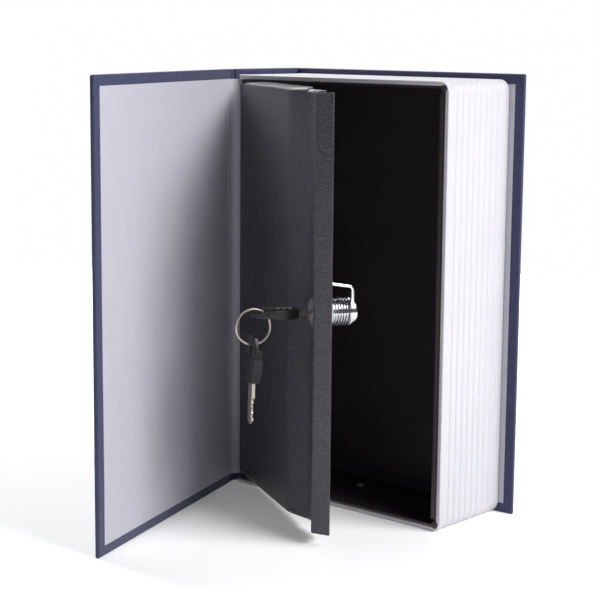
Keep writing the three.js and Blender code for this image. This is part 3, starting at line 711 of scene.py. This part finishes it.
sheet, faces = shell(edge_rows, -STEEL)
piece("door_canted_edge", on_door(sheet), faces, hammered, "door", crease=50, bevel=0.15)


# ---- Rivets and hinge pins: bright zinc-plated steel, the rivet heads domed by the set.
ZINC_PATCH = 1.42857

zinc, tree, out = new_material("steel_bright_zinc_plated")
# Zinc plate: pale grey metal with a soft, slightly uneven shine.
coords = add(tree, "ShaderNodeTexCoord")
patches = add(tree, "ShaderNodeTexNoise", {
    "Vector": coords.outputs["Object"], "Scale": 1 / (ZINC_PATCH * MM), "Detail": 4.0})
rough = add(tree, "ShaderNodeMapRange", {"Value": patches.outputs["Fac"], "To Min": 0.32, "To Max": 0.48})
bump = add(tree, "ShaderNodeBump", {
    "Height": patches.outputs["Fac"], "Strength": 0.15, "Distance": 0.03 * MM})
shader = add(tree, "ShaderNodeBsdfPrincipled", {
    "Base Color": linear("#C4C5C9"), "Metallic": 1.0, "Roughness": rough.outputs[0],
    "Normal": bump.outputs[0]})
tree.links.new(shader.outputs[0], out.inputs[0])

RIVET_HEAD = 3.0
RIVET_RISE = 1.4
RIVET_SHANK = 1.6
for node in ("rivet_floor_middle", "rivet_floor_hinge_side", "rivet_top_middle", "rivet_top_hinge_side"):
    low, high = np.array(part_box(node)) / MM
    centre = (low + high) / 2
    up = 1 if "floor" in node else -1
    seat = high[2] - RIVET_RISE if up > 0 else low[2] + RIVET_RISE
    a = np.linspace(0, math.pi / 2, 9)
    dome = revolve(np.concatenate([[(RIVET_SHANK, -STEEL), (RIVET_SHANK, 0.02)], np.stack([
        np.maximum(RIVET_HEAD * np.cos(a), 0.05), 0.1 + (RIVET_RISE - 0.1) * np.sin(a)], -1)]), 32)
    ring_points = np.stack([dome[..., 0] + centre[0], dome[..., 2] + centre[1], dome[..., 1] * up + seat], -1)
    points, faces = loft(ring_points)
    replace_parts(piece(node + "_domed", points, faces, zinc, "book"), node)
for node in ("hinge_pin_top", "hinge_pin_bottom", "lock_plug"):
    frame["nodes"][node].data.materials.clear()
    frame["nodes"][node].data.materials.append(zinc)


# ---- Lock: a turned and threaded brass housing with a flange in front, chrome plated, clamped through the land by a zinc-plated washer and hex nut.
THREAD_PITCH = 1.45
THREAD_DEPTH = 0.6
BARREL = 7.6
BEZEL = 8.4
HOUSING_END = 22.1
LAND = 6.2
THREAD_START = 9.0
TURNING_MARK = 0.55556
lock_centre = np.array(joints["lock_turn"]["pos_m"]) / MM
lock_axis = np.array(joints["lock_turn"]["axis"])
lock_across = -np.array(joints["ring_swing"]["axis"])

chrome, tree, out = new_material("brass_chrome_plated_polished")
# Bright chrome over turned brass: mirror-like with fine turning marks.
coords = add(tree, "ShaderNodeTexCoord")
marks = add(tree, "ShaderNodeTexNoise", {
    "Vector": coords.outputs["Object"], "Scale": 1 / (TURNING_MARK * MM), "Detail": 3.0})
rough = add(tree, "ShaderNodeMapRange", {"Value": marks.outputs["Fac"], "To Min": 0.08, "To Max": 0.2})
shader = add(tree, "ShaderNodeBsdfPrincipled", {
    "Base Color": linear("#DFE0E3"), "Metallic": 1.0, "Roughness": rough.outputs[0]})
tree.links.new(shader.outputs[0], out.inputs[0])


def on_lock(points):
    """Places points drawn about the lock: x across the door, y along the lock into the box, z up."""
    points = np.asarray(points, float)
    return (lock_centre + points[..., :1] * lock_across + points[..., 1:2] * lock_axis
            + points[..., 2:] * np.array([0, 0, 1.0]))


SIDES = 72
a = np.linspace(0, 2 * math.pi, SIDES, endpoint=False)
v_thread = np.arange(THREAD_START, HOUSING_END - 0.6, THREAD_PITCH / 12)
# The thread is a helix: its phase grows along the lock and falls round it, and its depth is a triangle
# wave of the phase with the crests and roots cut flat.
phase = (v_thread[:, None] / THREAD_PITCH - a[None, :] / (2 * math.pi)) % 1.0
crest = 1 - np.abs(2 * phase - 1)
r_thread = BARREL - THREAD_DEPTH * np.clip(1.25 * crest - 0.1, 0, 1)
thread = np.stack([r_thread * np.cos(a), v_thread[:, None] + 0 * r_thread, r_thread * np.sin(a)], -1)
bezel = revolve([(4.75, 4.3), (6.4, 4.0), (7.6, 3.95), (8.15, 4.25), (BEZEL, 4.8), (BEZEL, 5.45),
                 (BARREL - 0.1, 5.5), (BARREL - 0.1, THREAD_START - 0.2)], SIDES)
tail = revolve([(BARREL - 0.45, HOUSING_END - 0.45), (BARREL - 0.7, HOUSING_END)], SIDES)
points, faces = loft(np.concatenate([bezel, thread, tail]))
housing = piece("lock_housing_threaded", on_lock(points), faces, chrome, "door", crease=50)
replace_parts(housing, "lock_housing")


NUT_CORNER = 10.6  # the nut's radius to its corners
NUT_THICK = 3.4
NUT_CHAMFER = 1.0, 0.5  # across and along
WASHER = 9.5


def hexagon(v, chamfer=0.0):
    """A six-sided ring at v, of radius R cos 30 / cos(angle from the flat's middle), whose corners are cut
    back to a circle by chamfer, as a turned nut's are."""
    b = np.linspace(0, 2 * math.pi, 72, endpoint=False)
    flat = NUT_CORNER * math.cos(math.pi / 6) / np.cos((b + math.pi / 6) % (math.pi / 3) - math.pi / 6)
    r = np.minimum(flat, NUT_CORNER - chamfer)
    return np.stack([r * np.cos(b), v + 0 * b, r * np.sin(b)], -1)


nut_v = LAND + STEEL + 1.2
cut, slope = NUT_CHAMFER
nut = np.array([hexagon(nut_v, cut), hexagon(nut_v + slope), hexagon(nut_v + NUT_THICK - slope),
                hexagon(nut_v + NUT_THICK, cut)])
points, faces = loft(nut)
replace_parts(piece("lock_nut_hexagon", on_lock(points), faces, zinc, "door"), "lock_nut")
washer = revolve([(WASHER - 0.2, nut_v - 1.0), (WASHER, nut_v - 0.85), (WASHER, nut_v - 0.35),
                  (WASHER - 0.2, nut_v - 0.2)], 64)
points, faces = loft(washer)
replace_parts(piece("lock_washer_flat", on_lock(points), faces, zinc, "door"), "lock_washer")


# ---- Collar and cam: a chrome collar screwed on the plug carries the cam, a strip of steel fixed in a
# flat on its side, bent back over the barrel towards the door and up behind it.
LEG_U = 5.6
LEG_LOW = 2.5  # height of the leg's lower end above the lock's axis
CAM_THICK = 1.5
CAM_WIDE = 2.5
TONGUE_WIDE = 8.0
TONGUE_V, TONGUE_TOP = 10.25, 30.4  # how far behind the door it stands, and how high above the lock's axis
COLLAR_END = 26.2
collar_low = HOUSING_END + 0.2
notch_end = collar_low + CAM_THICK + 0.2
collar = revolve([(BARREL - 0.35, collar_low), (BARREL, collar_low + 0.3), (BARREL, notch_end),
                  (BARREL, notch_end + 0.05), (BARREL, COLLAR_END - 0.4), (BARREL - 0.4, COLLAR_END)], 96)
notch = (collar[..., 1] < notch_end + 0.02) & (collar[..., 2] > LEG_LOW - 0.1)
collar[..., 0] = np.where(notch, np.minimum(collar[..., 0], LEG_U - 0.1), collar[..., 0])
points, faces = loft(collar)
turned = piece("cam_collar_turned", on_lock(points), faces, chrome, "plug", crease=50)
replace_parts(turned, "cam_collar")


def bar(line, width_low, width_high, thick, corner=0.35):
    """A strip that follows a line in the lock's v and z plane: at each point a rounded rectangle, thick
    across the line and from width_low to width_high along x."""
    line = np.asarray(line, float)
    along = np.gradient(line, axis=0)
    along /= np.linalg.norm(along, axis=1, keepdims=True)
    side = np.stack([-along[:, 1], along[:, 0]], -1)
    rings = []
    for p, n, lo, hi in zip(line, side, width_low, width_high):
        outline = round_rectangle(lo, hi, -thick / 2, thick / 2, corner, 4)
        rings.append(np.stack([outline[:, 0], p[0] + n[0] * outline[:, 1], p[1] + n[1] * outline[:, 1]], -1))
    return np.array(rings)


cam_v = HOUSING_END + 0.3 + CAM_THICK / 2
cam_line = bent([(cam_v, LEG_LOW + 0.2), (cam_v, 13.8), (TONGUE_V, 15.95), (TONGUE_V, TONGUE_TOP)], 2.0, 9)
cam_line = np.concatenate([[(cam_v, LEG_LOW)], cam_line])
spread = np.clip((cam_line[:, 1] - 17.0) / 3.0, 0, 1) * (cam_line[:, 0] < TONGUE_V + 0.75)
cam_high = np.full(len(spread), LEG_U + CAM_WIDE)
cam_low = cam_high - (CAM_WIDE + (TONGUE_WIDE - CAM_WIDE) * spread)
points, faces = loft(bar(resampled(cam_line, 50), cam_low, cam_high, CAM_THICK))
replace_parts(piece("cam_cranked", on_lock(points), faces, chrome, "plug", crease=50), "cam")


# ---- Keys: nickel-plated blades, milled and cut on one edge, with black plastic heads moulded on. The
# heads have slanted grip ridges and are thinner round the eye for the ring.
BLADE_WIDE = 6.2
BLADE_THICK = 1.8
BLADE_LONG = 21.7
BLADE_STEP = 8.9  # the blade is milled thinner past this
HEAD_LONG = 24.6
HEAD_WIDE = 16.0
HEAD_THICK = 5.0
HEAD_V = -4.5
EYE_AT = -17.0
EYE_HALF = 3.4
EYE_ROUND = 1.7
RIM_THICK = 2.2
HEAD_RISE = 0.5  # the blade is this far below the middle of the head
LEDGES = (-17.6, -13.9)  # where the head thins for the eye, on its two faces
RING_RADIUS = 9.1
WIRE = 0.7
SPARE_LEAN = math.radians(-1.5)
KEY_CUTS = ((9.4, 0.7), (12.0, 1.2), (14.6, 0.6), (17.2, 1.0))  # each cut's place and depth
TIP_LONG = 2.0
GRIP_PITCH, GRIP_SLANT, GRIP_DEPTH = 3.4, 0.7, 0.6
MILLING_MARK = 0.83333
HEAD_GRAIN = 0.41667

nickel, tree, out = new_material("key_steel_nickel_plated")
# Nickel plate on milled steel: warm silver with fine lengthwise milling marks.
coords = add(tree, "ShaderNodeTexCoord")
marks = add(tree, "ShaderNodeTexNoise", {
    "Vector": coords.outputs["Object"], "Scale": 1 / (MILLING_MARK * MM), "Detail": 3.0})
rough = add(tree, "ShaderNodeMapRange", {"Value": marks.outputs["Fac"], "To Min": 0.22, "To Max": 0.4})
bump = add(tree, "ShaderNodeBump", {"Height": marks.outputs["Fac"], "Strength": 0.15, "Distance": 0.03 * MM})
shader = add(tree, "ShaderNodeBsdfPrincipled", {
    "Base Color": linear("#A9A59D"), "Metallic": 1.0, "Roughness": rough.outputs[0],
    "Normal": bump.outputs[0]})
tree.links.new(shader.outputs[0], out.inputs[0])

key_plastic, tree, out = new_material("key_head_moulded_black_abs")
# Moulded ABS: black, satin, with a fine spark-eroded grain.
coords = add(tree, "ShaderNodeTexCoord")
grain = add(tree, "ShaderNodeTexNoise", {
    "Vector": coords.outputs["Object"], "Scale": 1 / (HEAD_GRAIN * MM), "Detail": 2.0})
tone = add(tree, "ShaderNodeValToRGB", {"Fac": grain.outputs["Fac"]})
tone.color_ramp.elements[0].color = linear("#141417")
tone.color_ramp.elements[1].color = linear("#1E1E22")
bump = add(tree, "ShaderNodeBump", {"Height": grain.outputs["Fac"], "Strength": 0.3, "Distance": 0.04 * MM})
shader = add(tree, "ShaderNodeBsdfPrincipled", {
    "Base Color": tone.outputs["Color"], "Roughness": 0.36, "Specular IOR Level": 0.35,
    "Normal": bump.outputs[0]})
tree.links.new(shader.outputs[0], out.inputs[0])


def blade_rings():
    """Sections of the blade from inside the head to the tip: rounded rectangles, x = W/2 less the cuts
    on one edge, z thinner past the step, and both edges drawn in over TIP_LONG for the pointed tip."""
    y = np.unique(np.concatenate([np.linspace(-4, BLADE_LONG, 90), [BLADE_STEP, BLADE_STEP + 0.15]]))
    cuts = sum(depth * np.clip(1.9 - np.abs(y - at) / 0.75, 0, 1) for at, depth in KEY_CUTS)
    tip = np.clip((y - (BLADE_LONG - TIP_LONG)) / TIP_LONG, 0, 1)
    x1 = BLADE_WIDE / 2 - cuts - tip * (BLADE_WIDE / 2 - 0.7 - cuts)
    x0 = -BLADE_WIDE / 2 + tip * (BLADE_WIDE / 2 - 0.7)
    z1 = BLADE_THICK / 2 - 0.6 * np.clip((y - BLADE_STEP) / 0.15, 0, 1)
    rings = []
    for yy, lo, hi, top in zip(y, x0, x1, z1):
        outline = round_rectangle(lo, hi, -BLADE_THICK / 2, top, 0.18, 4)
        rings.append(np.stack([outline[:, 0], np.full(len(outline), yy), outline[:, 1]], -1))
    return np.array(rings)


def head_surface():
    """The head as rings round its eye: each ray from the eye's slot to the outline is a section that runs
    over the top face, round the edge and back under. Half thickness eases from RIM_THICK/2 near the eye to
    HEAD_THICK/2 past the ledge, less grooves of GRIP_DEPTH where y + GRIP_SLANT |x| is midway between
    multiples of GRIP_PITCH."""
    w = HEAD_WIDE / 2
    side = np.concatenate([curve([(4.4, 0), (w, -7), (w, -13)], 40),
                           curve([(w, -13), (w - 1, -20), (4.6, 1 - HEAD_LONG)], 40),
                           curve([(4.6, 1 - HEAD_LONG), (2.2, -HEAD_LONG - 0.1), (0, -HEAD_LONG - 0.1)], 20)])
    outline = np.concatenate([side, side[::-1] * [-1, 1], np.linspace((-4.4, 0), (4.4, 0), 60)])
    angle = np.arctan2(outline[:, 1] - EYE_AT, outline[:, 0])
    order = np.argsort(angle)
    rays = np.linspace(-math.pi, math.pi, 280, endpoint=False)
    distance_out = np.hypot(outline[order, 0], outline[order, 1] - EYE_AT)
    far = np.interp(rays, angle[order], distance_out, period=2 * math.pi)
    straight = EYE_HALF - EYE_ROUND
    b = rays[:, None]
    near_all = np.linspace(0, EYE_HALF + EYE_ROUND, 400)[None, :]
    px, py = near_all * np.cos(b), near_all * np.sin(b)
    inside_slot = np.hypot(px, np.maximum(np.abs(py) - straight, 0)) <= EYE_ROUND
    near = near_all[0][inside_slot.sum(1) - 1]
    t = (1 - np.cos(np.linspace(0, math.pi, 56))) / 2
    reach = near[:, None] + (far - near)[:, None] * t
    x, y = reach * np.cos(b), reach * np.sin(b) + EYE_AT
    grip = np.abs(((y + GRIP_SLANT * np.abs(x)) / GRIP_PITCH) % 1.0 - 0.5) * 2
    from_edge = far[:, None] - reach
    faces_of_head = []
    for ledge, full in zip(LEDGES, (HEAD_THICK / 2 + HEAD_RISE, HEAD_THICK / 2 - HEAD_RISE)):
        ease = np.clip((y - ledge) / 0.8, 0, 1)
        ease = ease * ease * (3 - 2 * ease)
        half = RIM_THICK / 2 + (full - RIM_THICK / 2) * ease
        mask = ease * np.clip((from_edge - 0.9) / 0.6, 0, 1) * np.clip((-1.4 - y) / 0.8, 0, 1)
        half = half - GRIP_DEPTH * mask * np.clip((grip - 0.35) / 0.3, 0, 1)
        for distance, round_off in ((from_edge, 0.45), (reach - near[:, None], 0.4)):
            d = np.clip(distance, 0, round_off)
            half = half - round_off + np.sqrt(round_off ** 2 - (round_off - d) ** 2)
        faces_of_head.append(half)
    top = np.stack([x, y, faces_of_head[0]], -1)
    under = np.stack([x, y, -faces_of_head[1]], -1)[:, ::-1]
    points = np.concatenate([top, under], 1)
    return points.reshape(-1, 3), grid_faces(points.shape[0], points.shape[1], True, True)


def on_key(points):
    """Places points drawn with y along the key from its head's shoulder: on_lock, moved by HEAD_V."""
    points = np.asarray(points, float)
    return on_lock(points + np.array([0, HEAD_V, 0]))


ring_centre = np.array([0, EYE_AT - 6.4, -5.84])  # its own centre, as it hangs in the eye


def on_spare(points):
    """The spare key hangs by its eye from the bottom of the ring: its length turned down, then leant."""
    points = np.asarray(points, float)
    x, y, z = points[..., 0], points[..., 2], -points[..., 1] + EYE_AT - EYE_HALF + WIRE + 0.1
    c, s = math.cos(SPARE_LEAN), math.sin(SPARE_LEAN)
    return on_key(np.stack([x, y * c - z * s, y * s + z * c - RING_RADIUS], -1) + ring_centre)


for prefix, body, place in (("key", "key", on_key), ("spare_key", "spare_key", on_spare)):
    points, faces = loft(blade_rings())
    blade = piece(prefix + "_blade_milled", place(points), faces, nickel, body, crease=30)
    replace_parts(blade, prefix + "_blade")
    points, faces = head_surface()
    moulded = piece(prefix + "_head_moulded", place(points), faces, key_plastic, body,
                    crease=60)
    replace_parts(moulded, prefix + "_head")


# ---- Split ring: two turns of flattened spring wire lying against each other, stepping from one to the
# other beside the ends.
RING_START = math.radians(120)
WIRE_ACROSS, WIRE_ALONG = 0.55, 0.36  # the flattened wire's half sizes
a = np.linspace(RING_START, RING_START + 4 * math.pi - 0.06, 260)
b = np.linspace(0, 2 * math.pi, 14, endpoint=False)
into = np.clip((a - RING_START - 2 * math.pi + 0.35) / 0.7, 0, 1)
axial = WIRE_ALONG * (2 * into * into * (3 - 2 * into) - 1)
radius = RING_RADIUS + WIRE_ACROSS * np.cos(b)[None, :]
wire = np.stack([axial[:, None] + WIRE_ALONG * np.sin(b)[None, :] + 0 * radius,
                 radius * np.cos(a)[:, None], radius * np.sin(a)[:, None]], -1)
points, faces = loft(wire)
split_ring = piece("split_ring_two_turn", on_key(points + ring_centre), faces, nickel, "ring",
                   crease=60)
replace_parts(split_ring, "key_ring")
